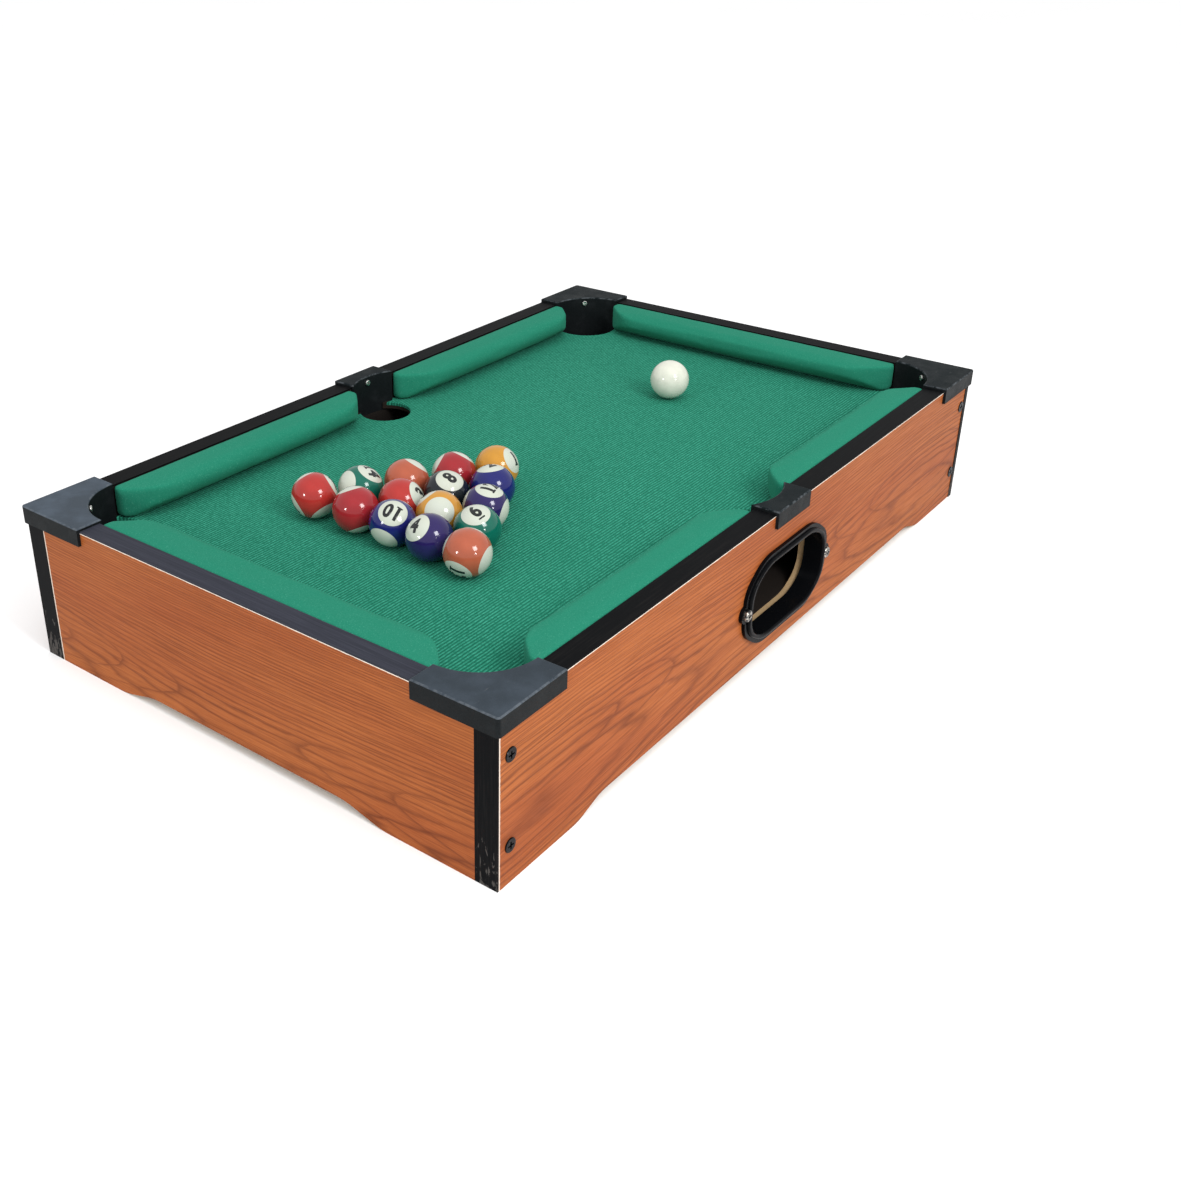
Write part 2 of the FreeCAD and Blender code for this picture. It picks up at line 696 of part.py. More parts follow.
# ---- cushions --------------------------------------------------------------------------------------

def cushion(name, length, tip, reach, at, turn):
    """A foam strip: level top, round nose, mitred ends, underside sloping back to its foot on the felt."""
    outline = [
        (0, "felt_top"),
        ("cushion_foot", "felt_top"),
        (tip, "cushion_front_top"),
        (0, "cushion_top"),
    ]
    strip = body_from_outline(name + "_strip", "YZ_Plane", outline, length)
    past_foot = SIZES["cushion_foot"] + 1
    nose = SIZES["cushion_nose_radius"]
    round_body(strip, nose, lambda edge: runs_along(edge, 0) and middle_of(edge).y > past_foot)
    put(strip, (f"-({length}) / 2", 0, 0))
    half = f"({length}) / 2"
    mitre = f"{reach} - cushion_end_face"
    plan_outline = [
        (f"-{half}", 0),
        (half, 0),
        (half, "cushion_end_face"),
        (f"{half} - ({mitre})", reach),
        (f"-{half} + ({mitre})", reach),
        (f"-{half}", "cushion_end_face"),
    ]
    plan = body_from_outline(name + "_plan", "XY_Plane", plan_outline, "rail_top")
    past_end = SIZES["cushion_end_face"] + 1
    round_body(plan, CUSHION_END_ROUNDING,
               lambda edge: runs_along(edge, 2) and middle_of(edge).y > past_end)
    whole = common(name + "_whole", strip, plan)
    node(put(whole, at, turned((0, 0, 1), turn)), name)


def cushions():
    long_run = "table_length / 2 - cushion_end_inset - cushion_middle_gap"
    centre = f"({long_run}) / 2 + cushion_middle_gap"
    for side, (sign, turn) in LONG_SIDES.items():
        for end, end_sign in SHORT_SIDES.items():
            at = (signed(end_sign, centre), signed(sign, "table_width / 2 - board_thick"), 0)
            cushion(f"{side}_{end}_cushion", long_run, "long_cushion_tip", "long_cushion_reach", at, turn)
    short_run = "table_width - 2 * cushion_end_inset"
    for side, sign in SHORT_SIDES.items():
        at = (signed(sign, "table_length / 2 - board_thick"), 0, 0)
        cushion(f"{side}_cushion", short_run, "short_cushion_tip", "short_cushion_reach", at, 90 * sign)


# ---- balls -----------------------------------------------------------------------------------------

def balls():
    height = "felt_top + ball_gap + ball_diameter / 2"
    for name, (along, across) in BALLS.items():
        ball = primitive("Sphere", name + "_sphere", {"Radius": "ball_diameter / 2"}, (along, across, height))
        node(ball, name)


# ---- the whole table -------------------------------------------------------------------------------

def build():
    fill_sheet()
    front_holes, front_screws = panel_screws("front")
    rear_holes, rear_screws = panel_screws("rear")
    node(together("panel_screws_group", front_screws, rear_screws), "panel_screws")
    front_pocket_hole, front_pocket_screw = middle_cap("front")
    rear_pocket_hole, rear_pocket_screw = middle_cap("rear")
    pocket_screws = [corner_cap(corner) for corner in CORNERS]
    bezel_holes = return_bezel()
    long_panel("front", front_holes, return_opening(), front_pocket_hole, *bezel_holes)
    long_panel("rear", rear_holes, rear_pocket_hole)
    for side in SHORT_SIDES:
        short_panel(side, (front_holes, rear_holes))
    pocket_screws += [front_pocket_screw, rear_pocket_screw]
    node(together("pocket_screws_group", *pocket_screws), "pocket_screws")
    playfield_sheet("playfield_board", "playfield_thick", "felt_top - felt_thick")
    playfield_sheet("playfield_felt", "felt_thick", "felt_top")
    cleats()
    tray_parts()
    cushions()
    balls()
    doc.recompute()


def check_and_export():
    failed = [piece.Name for piece in doc.Objects if {"Invalid", "Error"} & set(piece.State)]
    bad_shapes = [piece.Label for piece in nodes if piece.Shape.isNull() or not piece.Shape.isValid()]
    if failed or bad_shapes:
        raise RuntimeError(f"failed objects {failed}, bad shapes {bad_shapes}")
    os.makedirs("parts", exist_ok=True)
    for piece in nodes:
        piece.Shape.exportStep(os.path.join("parts", piece.Label + ".step"))
        volume = piece.Shape.Volume / 1000
        print(f"{piece.Label:24s} solids {len(piece.Shape.Solids)}  volume {volume:9.3f} cm3")
    print(len(nodes), "nodes")


build()
check_and_export()
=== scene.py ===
"""The looks of the mini pool table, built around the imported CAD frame. Every length is in metres."""
import math

import bmesh
import bpy
from mathutils import Matrix, Vector, noise
from mathutils.geometry import delaunay_2d_cdt


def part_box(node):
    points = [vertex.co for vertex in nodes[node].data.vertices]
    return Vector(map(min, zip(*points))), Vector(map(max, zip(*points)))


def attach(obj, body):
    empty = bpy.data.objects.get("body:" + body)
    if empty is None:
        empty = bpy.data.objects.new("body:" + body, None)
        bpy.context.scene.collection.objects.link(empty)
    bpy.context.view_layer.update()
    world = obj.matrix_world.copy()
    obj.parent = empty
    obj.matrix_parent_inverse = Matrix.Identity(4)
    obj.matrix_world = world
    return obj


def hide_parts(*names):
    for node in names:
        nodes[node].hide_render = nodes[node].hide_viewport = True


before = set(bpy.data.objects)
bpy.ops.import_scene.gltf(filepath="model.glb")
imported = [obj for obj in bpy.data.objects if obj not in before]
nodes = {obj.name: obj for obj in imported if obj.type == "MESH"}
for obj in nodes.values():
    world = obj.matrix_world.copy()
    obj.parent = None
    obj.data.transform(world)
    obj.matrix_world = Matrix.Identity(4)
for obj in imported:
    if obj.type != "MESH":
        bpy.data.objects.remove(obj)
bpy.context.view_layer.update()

MM = 0.001
scene = bpy.context.scene
scene.view_settings.view_transform = "Standard"

# ---- sizes shared with the CAD model ---------------------------------------------------------------
TABLE_LENGTH = 508 * MM
TABLE_WIDTH = 315 * MM
RAIL_TOP = 89 * MM
BOARD_THICK = 12.5 * MM
FELT_TOP = 70.5 * MM
FELT_THICK = 0.5 * MM
CORNER_HOLE_RADIUS = 22.6 * MM
CORNER_HOLE_INSET = 27.5 * MM
CAP_ARM = 45.5 * MM
MIDDLE_HOLE_RADIUS = 16.5 * MM
MIDDLE_HOLE_INSET = 25 * MM
MIDDLE_CAP_HALF = 18.3 * MM
MIDDLE_ARC_RADIUS = 35 * MM
MIDDLE_ARC_INSET = 44.5 * MM
BAND_THICK = 0.8 * MM
BALL_RADIUS = 12.7 * MM


# ---- making objects --------------------------------------------------------------------------------
def columns(first, second, third):
    """The turn that brings the three axes to the three directions."""
    return Matrix((first, second, third)).transposed().to_4x4()


def finished(name, mesh, materials, smooth=True):
    """Turns a bmesh into an object with its materials."""
    data = bpy.data.meshes.new(name)
    mesh.to_mesh(data)
    mesh.free()
    for material in materials:
        data.materials.append(material)
    if smooth:
        data.shade_smooth()
    made = bpy.data.objects.new(name, data)
    scene.collection.objects.link(made)
    return made


def resolved(thing):
    """The object's mesh with its modifiers applied, as a new mesh."""
    shown = thing.evaluated_get(bpy.context.evaluated_depsgraph_get())
    return bpy.data.meshes.new_from_object(shown)


def with_modifier(thing, kind, **settings):
    """Applies one modifier."""
    modifier = thing.modifiers.new(kind.lower(), kind)
    for name, value in settings.items():
        setattr(modifier, name, value)
    mesh = resolved(thing)
    thing.modifiers.clear()
    thing.data = mesh


# ---- the camera, at the photograph's place ---------------------------------------------------------
CAMERA_AT = Vector((-0.60886, -0.43201, 0.39842))
CAMERA_YAW = math.radians(38.631)
CAMERA_PITCH = math.radians(-26.576)
CAMERA_ROLL = math.radians(-0.272)
CAMERA_LENS = 41.35
CAMERA_SHIFT = (0.0942, -0.0524)


def camera_axes():
    """The camera's right, up and backward directions."""
    level = math.cos(CAMERA_PITCH)
    ahead = Vector((level * math.cos(CAMERA_YAW), level * math.sin(CAMERA_YAW), math.sin(CAMERA_PITCH)))
    right = Vector((math.sin(CAMERA_YAW), -math.cos(CAMERA_YAW), 0))
    up = right.cross(ahead)
    rolled_right = math.cos(CAMERA_ROLL) * right + math.sin(CAMERA_ROLL) * up
    rolled_up = math.cos(CAMERA_ROLL) * up - math.sin(CAMERA_ROLL) * right
    return rolled_right, rolled_up, -ahead


def place_camera():
    data = bpy.data.cameras.new("camera")
    data.lens = CAMERA_LENS
    data.sensor_width = 36
    data.shift_x, data.shift_y = CAMERA_SHIFT
    data.clip_start = 0.01
    camera = bpy.data.objects.new("camera", data)
    camera.matrix_world = Matrix.Translation(CAMERA_AT) @ columns(*camera_axes())
    scene.collection.objects.link(camera)
    scene.camera = camera


# ---- lights, floor and surroundings ----------------------------------------------------------------
RACK_MIDDLE = Vector((-0.05, 0, FELT_TOP))
LIGHT_DISTANCE = 1.3
SKY_STRENGTH = 0.75
SUN_STRENGTH = 1.1
SUN_SPREAD = math.radians(50)
FLOOR_HALF = 6.0


def aim(thing, at, target):
    thing.location = at
    thing.rotation_euler = (Vector(target) - Vector(at)).to_track_quat("-Z", "Y").to_euler()


def soft_light(name, shape, size, power, direction):
    """A lamp that shines on the rack from a direction."""
    data = bpy.data.lights.new(name, "AREA")
    data.shape = shape
    data.size = size
    data.energy = power
    lamp = bpy.data.objects.new(name, data)
    scene.collection.objects.link(lamp)
    aim(lamp, RACK_MIDDLE + LIGHT_DISTANCE * Vector(direction).normalized(), RACK_MIDDLE)


# each lamp's shape, its size, its power in watts and its direction from the rack
LAMPS = {
    "soft_box": ("SQUARE", 0.38, 8.0, (-0.145, -0.778, 0.62)),
    "low_lamp": ("DISK", 0.11, 1.8, (-0.27, -0.93, 0.289)),
    "side_lamp": ("DISK", 0.18, 3.2, (-0.918, 0.181, 0.306)),
}


def light_the_studio():
    """Even light from all round, three lamps that the balls mirror, and a soft sun that they don't."""
    world = bpy.data.worlds.new("studio")
    scene.world = world
    world.use_nodes = True
    sky = world.node_tree.nodes["Background"]
    sky.inputs["Color"].default_value = (1, 1, 1, 1)
    sky.inputs["Strength"].default_value = SKY_STRENGTH
    for name, (shape, size, power, direction) in LAMPS.items():
        soft_light(name, shape, size, power, direction)
    daylight = bpy.data.lights.new("daylight", "SUN")
    daylight.energy = SUN_STRENGTH
    daylight.angle = SUN_SPREAD
    sun = bpy.data.objects.new("daylight", daylight)
    sun.visible_glossy = False
    scene.collection.objects.link(sun)
    aim(sun, (-0.25, -0.35, 0.9), (0, 0, 0))


def lay_the_floor():
    """A plain pale floor, which isn't part of the object."""
    mesh = bpy.data.meshes.new("floor")
    half = FLOOR_HALF
    corners = [(-half, -half, 0), (half, -half, 0), (half, half, 0), (-half, half, 0)]
    mesh.from_pydata(corners, [], [(0, 1, 2, 3)])
    floor = bpy.data.objects.new("floor", mesh)
    scene.collection.objects.link(floor)
    paint = Paint("studio_floor")
    paint.set(roughness=0.9, specular=0.1)
    clouds = paint.noise(paint.coordinates(), 3.0, 2)
    paint.base(paint.mix(clouds, (0.93, 0.93, 0.93, 1), (0.96, 0.96, 0.96, 1)))
    mesh.materials.append(paint.material)


# ---- materials -------------------------------------------------------------------------------------
def colour(red, green, blue):
    """A colour given as the eye sees it, from 0 to 255, in the renderer's light units."""
    def linear(part):
        share = part / 255
        return share / 12.92 if share <= 0.04045 else ((share + 0.055) / 1.055) ** 2.4
    return (linear(red), linear(green), linear(blue), 1)


class Paint:
    """A material's nodes around one Principled shader."""

    def __init__(self, name):
        self.material = bpy.data.materials.new(name)
        self.material.use_nodes = True
        self.tree = self.material.node_tree
        self.shader = self.tree.nodes["Principled BSDF"]

    def add(self, kind, inputs=None, **settings):
        made = self.tree.nodes.new("ShaderNode" + kind)
        for name, value in settings.items():
            setattr(made, name, value)
        for key, value in (inputs or {}).items():
            self.feed(made.inputs[key], value)
        return made

    def feed(self, socket, value):
        if isinstance(value, bpy.types.NodeSocket):
            self.tree.links.new(value, socket)
        else:
            socket.default_value = value

    def set(self, **values):
        """Numbers and colours that are the same all over, on the shader's own sockets."""
        sockets = {
            "roughness": "Roughness",
            "metallic": "Metallic",
            "specular": "Specular IOR Level",
            "coat": "Coat Weight",
            "coat_roughness": "Coat Roughness",
            "sheen": "Sheen Weight",
            "sheen_roughness": "Sheen Roughness",
            "sheen_tint": "Sheen Tint",
            "subsurface": "Subsurface Weight",
        }
        for name, value in values.items():
            self.shader.inputs[sockets[name]].default_value = value

    def base(self, value):
        self.feed(self.shader.inputs["Base Color"], value)

    def roughness(self, value):
        self.feed(self.shader.inputs["Roughness"], value)

    def bump(self, height, distance, strength=1.0):
        bump = self.add("Bump", {"Height": height, "Distance": distance, "Strength": strength})
        self.feed(self.shader.inputs["Normal"], bump.outputs["Normal"])

    def coordinates(self):
        return self.add("TexCoord").outputs["Object"]

    def axes(self, vector):
        parts = self.add("SeparateXYZ", {0: vector})
        return parts.outputs[0], parts.outputs[1], parts.outputs[2]

    def join(self, x, y, z):
        return self.add("CombineXYZ", {0: x, 1: y, 2: z}).outputs[0]

    def stretch(self, vector, scale):
        return self.add("VectorMath", {0: vector, 1: scale}, operation="MULTIPLY").outputs[0]

    def maths(self, operation, first, second=0.0, clamp=False):
        made = self.add("Math", {0: first, 1: second}, operation=operation, use_clamp=clamp)
        return made.outputs[0]

    def total(self, *terms):
        """The sum of values, each given with what it is multiplied by."""
        parts = [self.maths("MULTIPLY", value, share) for value, share in terms]
        whole = parts[0]
        for part in parts[1:]:
            whole = self.maths("ADD", whole, part)
        return whole

    def noise(self, vector, scale, detail=3.0, roughness=0.5, distortion=0.0):
        inputs = {"Vector": vector, "Scale": scale, "Detail": detail, "Roughness": roughness}
        return self.add("TexNoise", {**inputs, "Distortion": distortion}).outputs["Fac"]

    def range(self, value, low, high, to_low=0.0, to_high=1.0):
        """The value spread from one range onto another, smoothly and without going past either end."""
        inputs = {"Value": value, "From Min": low, "From Max": high, "To Min": to_low, "To Max": to_high}
        return self.add("MapRange", inputs, interpolation_type="SMOOTHSTEP").outputs[0]

    def ramp(self, value, stops):
        made = self.add("ValToRGB", {0: value})
        elements = made.color_ramp.elements
        for number, (position, shade) in enumerate(stops):
            element = elements[number] if number < 2 else elements.new(position)
            element.position = position
            element.color = shade if isinstance(shade, tuple) else (shade, shade, shade, 1)
        return made.outputs[0]

    def mix(self, share, first, second, blend="MIX"):
        made = self.add("Mix", {0: share, 6: first, 7: second}, data_type="RGBA", blend_type=blend)
        return made.outputs[2]

    def along(self, vector, direction):
        """How far a vector reaches along a direction, either way."""
        made = self.add("VectorMath", {0: vector, 1: direction}, operation="DOT_PRODUCT")
        return self.maths("ABSOLUTE", made.outputs["Value"])

    def normal(self):
        return self.axes(self.add("NewGeometry").outputs["Normal"])

    def specks(self, vector, scale, size, share):
        """Small round spots: about the given share of the cells holds one."""
        cells = self.add("TexVoronoi", {"Vector": vector, "Scale": scale})
        near = self.maths("LESS_THAN", cells.outputs["Distance"], size)
        chosen = self.maths("LESS_THAN", self.axes(cells.outputs["Color"])[0], share)
        return self.maths("MULTIPLY", near, chosen)


WOOD = colour(171, 98, 49)
WOOD_WARM = colour(158, 83, 41)
WOOD_LINE = colour(76, 28, 14)
BACKING_AND_HIGHLIGHT = colour(222, 212, 198)
# how dark a line of the print is, from one line to the next
MAIN_LINES = [(0.0, 1.0), (0.06, 0.50), (0.16, 0.10), (0.80, 0.0), (0.97, 0.28), (1.0, 1.0)]
FINE_LINES = [(0.0, 1.0), (0.12, 0.50), (0.34, 0.06), (0.78, 0.05), (1.0, 1.0)]
# the heights between which the paper's pale edge, partly a painted highlight on the band's trimmed edge,
# starts to show under the top band
PAPER_EDGE_AND_HIGHLIGHT = (RAIL_TOP - 0.96 * MM, RAIL_TOP - 0.78 * MM)


def laminate(name, along, centre, middle, period, tightness, pale_edged_ends):
    """Printed wood on a board: flame figures whose lines run along the board's length.

    The figure is a row of saddles at the height given as its middle, one every period along the board.
    The pale edge of the print's backing, partly a painted highlight, shows at the ends whose signs are
    given.
    """
    paint = Paint(name)
    place = paint.coordinates()
    x, y, z = paint.axes(place)
    run = x if along == "x" else y
    flat = paint.join(run, z, 0.0)
    wander = paint.noise(paint.stretch(flat, (3.2, 13.0, 1.0)), 1.0, 2.0, 0.4)
    shake = paint.noise(paint.stretch(flat, (24.0, 150.0, 1.0)), 1.0, 2.0, 0.5)
    height = paint.maths("SUBTRACT", z, middle)
    rings = paint.maths("MULTIPLY", paint.maths("MULTIPLY", height, height), tightness)
    turn = paint.maths("MULTIPLY", paint.maths("SUBTRACT", run, centre), math.tau / period)
    swing = paint.maths("COSINE", turn)
    figure = paint.total((rings, 1.0), (swing, 1.5), (wander, 2.2), (shake, 0.22), (z, 70.0))
    main = paint.ramp(paint.maths("FRACT", figure), MAIN_LINES)
    # finer lines run between the main ones, at an even spacing where the figure is straight
    even = paint.total((figure, 1.0), (shake, 0.9), (z, 190.0))
    fine = paint.ramp(paint.maths("FRACT", even), FINE_LINES)
    lines = paint.maths("MAXIMUM", paint.maths("MULTIPLY", main, 0.85), paint.maths("MULTIPLY", fine, 0.88))
    strength = paint.noise(paint.stretch(flat, (7.0, 60.0, 1.0)), 1.0, 2.0)
    lines = paint.maths("MULTIPLY", lines, paint.range(strength, 0.25, 0.65, 0.5, 1.0))

    fibres = paint.noise(paint.stretch(flat, (30.0, 1500.0, 1.0)), 1.0, 3.0, 0.6)
    pores = paint.range(paint.noise(paint.stretch(flat, (110.0, 2600.0, 1.0)), 1.0, 1.0), 0.60, 0.74)
    patches = paint.noise(paint.stretch(flat, (4.0, 22.0, 1.0)), 1.0, 2.0)
    tone = paint.mix(paint.range(patches, 0.3, 0.7), WOOD, WOOD_WARM)
    tone = paint.mix(paint.range(fibres, 0.3, 0.75, 0.0, 0.36), tone, WOOD_LINE)
    tone = paint.mix(paint.maths("MULTIPLY", pores, 0.26), tone, WOOD_LINE)
    tone = paint.mix(paint.maths("MULTIPLY", lines, 0.74), tone, WOOD_LINE)

    # the pale edge of the paper backing, partly a painted highlight where the bands' trimmed edges catch
    # light, shows as a broken line where the bands meet the board
    ragged = paint.noise(paint.stretch(place, (260.0, 260.0, 700.0)), 1.0, 3.0, 0.7)
    pale = paint.range(paint.total((z, 1.0), (ragged, 0.75 * MM)), *PAPER_EDGE_AND_HIGHLIGHT)
    end = TABLE_LENGTH / 2 - BAND_THICK if along == "x" else TABLE_WIDTH / 2 - BOARD_THICK
    for sign in pale_edged_ends:
        margin = paint.total((run, float(sign)), (ragged, 0.9 * MM))
        pale = paint.maths("MAXIMUM", pale, paint.range(margin, end - 0.5 * MM, end - 0.1 * MM, 0.0, 0.8))
    # paper backing and painted highlight, in one pale colour
    tone = paint.mix(pale, tone, BACKING_AND_HIGHLIGHT)
    paint.base(tone)
    paint.roughness(paint.range(fibres, 0.2, 0.8, 0.42, 0.56))
    paint.set(specular=0.09)
    paint.bump(paint.total((fibres, 1.0), (lines, -0.6)), 0.06 * MM, 0.5)
    return paint.material


def fibreboard(name, pale, dark):
    """Raw board: pressed fibres in fine speckles."""
    paint = Paint(name)
    place = paint.coordinates()
    fine = paint.noise(place, 2600.0, 3.0, 0.7)
    broad = paint.noise(paint.stretch(place, (60.0, 60.0, 300.0)), 1.0, 3.0)
    tone = paint.mix(paint.range(fine, 0.3, 0.7), pale, dark)
    tone = paint.mix(paint.range(broad, 0.35, 0.75, 0.0, 0.4), tone, dark)
    paint.base(tone)
    paint.set(roughness=0.9, specular=0.15)
    paint.bump(fine, 0.15 * MM, 0.6)
    return paint.material


def softwood(name):
    """Sawn batten, with its grain lying flat."""
    paint = Paint(name)
    place = paint.coordinates()
    grain = paint.noise(paint.stretch(place, (25.0, 25.0, 700.0)), 1.0, 3.0, 0.55, 0.4)
    tone = paint.mix(paint.range(grain, 0.3, 0.7), colour(206, 176, 132), colour(170, 132, 88))
    paint.base(tone)
    paint.set(roughness=0.8, specular=0.2)
    paint.bump(grain, 0.10 * MM, 0.5)
    return paint.material


def black_band(name, along, faded=0.0):
    """Black edge tape with a faint grain along it, scuffed where it meets the ground."""
    paint = Paint(name)
    place = paint.coordinates()
    stretches = {"x": (35.0, 1500.0, 1500.0), "y": (1500.0, 35.0, 1500.0), "z": (1300.0, 1300.0, 40.0)}
    grain = paint.noise(paint.stretch(place, stretches[along]), 1.0, 3.0, 0.6)
    tone = paint.mix(paint.range(grain, 0.45, 0.8), colour(8, 9, 11), colour(27, 26, 26))
    streaks = paint.range(grain, 0.25, 0.75, 0.6 * faded, faded)
    tone = paint.mix(streaks, tone, colour(72, 74, 86))
    if along == "z":
        height = paint.axes(place)[2]
        scuffs = paint.noise(paint.stretch(place, (420.0, 420.0, 150.0)), 1.0, 4.0, 0.6, 0.8)
        scuffs = paint.total((scuffs, 1.0), (height, -7.0))
        tone = paint.mix(paint.range(scuffs, 0.47, 0.53, 0.0, 0.42), tone, colour(104, 100, 96))
    paint.base(tone)
    paint.roughness(paint.range(grain, 0.3, 0.8, 0.40, 0.56))
    paint.set(specular=0.03)
    paint.bump(grain, 0.08 * MM, 0.5)
    return paint.material


def cap_plastic(name, faded):
    """Dark moulded plastic with a fine spark-eroded grain, and a broken painted highlight along its rounded
    upper edges.
    """
    paint = Paint(name)
    place = paint.coordinates()
    grit = paint.noise(place, 2300.0, 4.0, 0.65)
    clouds = paint.noise(place, 70.0, 4.0, 0.6)
    tone = paint.mix(paint.range(grit, 0.3, 0.7), colour(9, 15, 17), colour(22, 30, 33))
    tone = paint.mix(paint.range(clouds, 0.35, 0.75, 0.6 * faded, faded), tone, colour(88, 98, 110))
    # painted highlight: a paler broken tone on the rounded upper edges, where they catch light
    rim = paint.range(paint.normal()[2], 0.92, 0.995, 1.0, 0.0)
    edge_highlight = paint.range(paint.noise(place, 260.0, 4.0, 0.7), 0.40, 0.62)
    edge_highlight = paint.maths("MULTIPLY", paint.maths("MULTIPLY", rim, edge_highlight), 0.35)
    tone = paint.mix(edge_highlight, tone, colour(112, 117, 122))
    streaks = paint.noise(paint.stretch(place, (130.0, 900.0, 900.0)), 1.0, 4.0, 0.7, 0.6)
    tone = paint.mix(paint.range(streaks, 0.66, 0.74, 0.0, 0.30), tone, colour(120, 123, 126))
    paint.base(tone)
    paint.roughness(paint.range(clouds, 0.3, 0.7, 0.40, 0.55))
    paint.set(specular=0.06)
    paint.bump(grit, 0.07 * MM, 0.55)
    return paint.material


def wall_plastic(name):
    """The same moulding on its upright faces, without the fading and the painted edge highlight of the
    upper faces.
    """
    paint = Paint(name)
    place = paint.coordinates()
    grit = paint.noise(place, 2300.0, 4.0, 0.65)
    clouds = paint.noise(place, 90.0, 4.0, 0.6)
    tone = paint.mix(paint.range(grit, 0.3, 0.7), colour(13, 15, 16), colour(24, 28, 30))
    paint.base(paint.mix(paint.range(clouds, 0.5, 0.8, 0.0, 0.3), tone, colour(42, 46, 48)))
    paint.roughness(paint.range(clouds, 0.3, 0.7, 0.42, 0.56))
    paint.set(specular=0.07)
    paint.bump(grit, 0.07 * MM, 0.5)
    return paint.material


def gloss_black(name):
    """A glossy moulding with slow waves in its surface and a little dust."""
    paint = Paint(name)
    place = paint.coordinates()
    waves = paint.noise(place, 90.0, 3.0, 0.5)
    dust = paint.noise(place, 1900.0, 3.0, 0.7)
    paint.base(paint.mix(paint.range(dust, 0.62, 0.74, 0.0, 0.30), colour(9, 10, 12), colour(52, 52, 50)))
    paint.roughness(paint.range(waves, 0.3, 0.7, 0.16, 0.28))
    paint.set(specular=0.04)
    paint.bump(waves, 0.4 * MM, 0.35)
    return paint.material


def metal(name, bright, dark, roughness, worn_share):
    """A plated or blackened screw: bright where the driver and the thumb have worn it."""
    paint = Paint(name)
    place = paint.coordinates()
    wear = paint.noise(place, 700.0, 4.0, 0.65)
    paint.base(paint.mix(paint.range(wear, worn_share, worn_share + 0.12), dark, bright))
    paint.roughness(paint.range(wear, 0.3, 0.7, roughness, roughness + 0.18))
    paint.set(metallic=1.0)
    paint.bump(wear, 0.08 * MM, 0.6)
    return paint.material


FELT = colour(60, 154, 128)
CUSHION_FELT = colour(36, 119, 96)
FELT_DARK = colour(28, 114, 90)
FELT_PALE = colour(92, 170, 146)
# the painted shade in the grooves between the felt's ribs
FELT_GROOVE_SHADE = colour(16, 92, 72)
RIB_PITCH = 1.9 * MM
# how far the ribs wander from straight
RIB_DRIFT = 1.4 * MM


def felt(name, ribbed):
    """Green baize. The playfield's cloth has fine ribs along the table, the cushions' has none."""
    pile = FELT if ribbed else CUSHION_FELT
    paint = Paint(name)
    place = paint.coordinates()
    fuzz = paint.noise(place, 1700.0, 3.0, 0.75)
    tufts = paint.noise(place, 620.0 if ribbed else 1000.0, 3.0, 0.65)
    broad = paint.noise(place, 11.0, 3.0, 0.5)
    tone = paint.mix(paint.range(tufts, 0.32, 0.72, 0.0, 1.0 if ribbed else 0.85), pile, FELT_DARK)
    height = paint.total((fuzz, 0.5), (tufts, 0.6))
    if ribbed:
        drift = paint.noise(paint.stretch(place, (45.0, 90.0, 1.0)), 1.0, 2.0)
        line = paint.total((paint.axes(place)[1], 1.0), (drift, RIB_DRIFT))
        ribs = paint.maths("SINE", paint.maths("MULTIPLY", line, math.tau / RIB_PITCH))
        beads = paint.noise(paint.stretch(place, (900.0, 620.0, 1.0)), 1.0, 2.0, 0.6)
        ribs = paint.maths("MULTIPLY", ribs, paint.range(beads, 0.25, 0.75, 0.55, 1.0))
        # painted shade: the grooves between the ribs, where the bump sinks, are darker
        tone = paint.mix(paint.range(ribs, -0.8, 0.8), tone, FELT_GROOVE_SHADE)
        height = paint.total((height, 1.0), (ribs, -0.55))
    tone = paint.mix(paint.range(fuzz, 0.55, 0.77, 0.0, 0.50 if ribbed else 0.75), tone, FELT_PALE)
    tone = paint.mix(paint.range(broad, 0.35, 0.7, 0.0, 0.16), tone, FELT_DARK)
    lint = paint.specks(place, 60.0, 0.020, 0.10)
    tone = paint.mix(paint.maths("MULTIPLY", lint, 0.7), tone, colour(205, 214, 200))
    paint.base(tone)
    paint.set(roughness=0.95, specular=0.08, sheen=0.18, sheen_roughness=0.5, sheen_tint=FELT_PALE)
    paint.bump(height, (0.45 if ribbed else 0.26) * MM, 0.7)
    return paint.material


# ---- boards, bands, caps and fasteners keep their CAD shape ----------------------------------------
def cover(node, *materials):
    """Puts materials on a CAD node, in slot order."""
    slots = nodes[node].data.materials
    slots.clear()
    for material in materials:
        slots.append(material)


def faces_of(node, choose):
    """Gives each face of a CAD node the slot number that a rule picks from its normal and middle."""
    for face in nodes[node].data.polygons:
        face.material_index = choose(face.normal, face.center)


# the faces of the front board's return hole lie within this distance of X = 0 and below this height
RETURN_REACH = 60 * MM
RETURN_TOP = 70 * MM
# the feet's lower edges and the arches between them lie below this height
FEET_TOP = 10 * MM


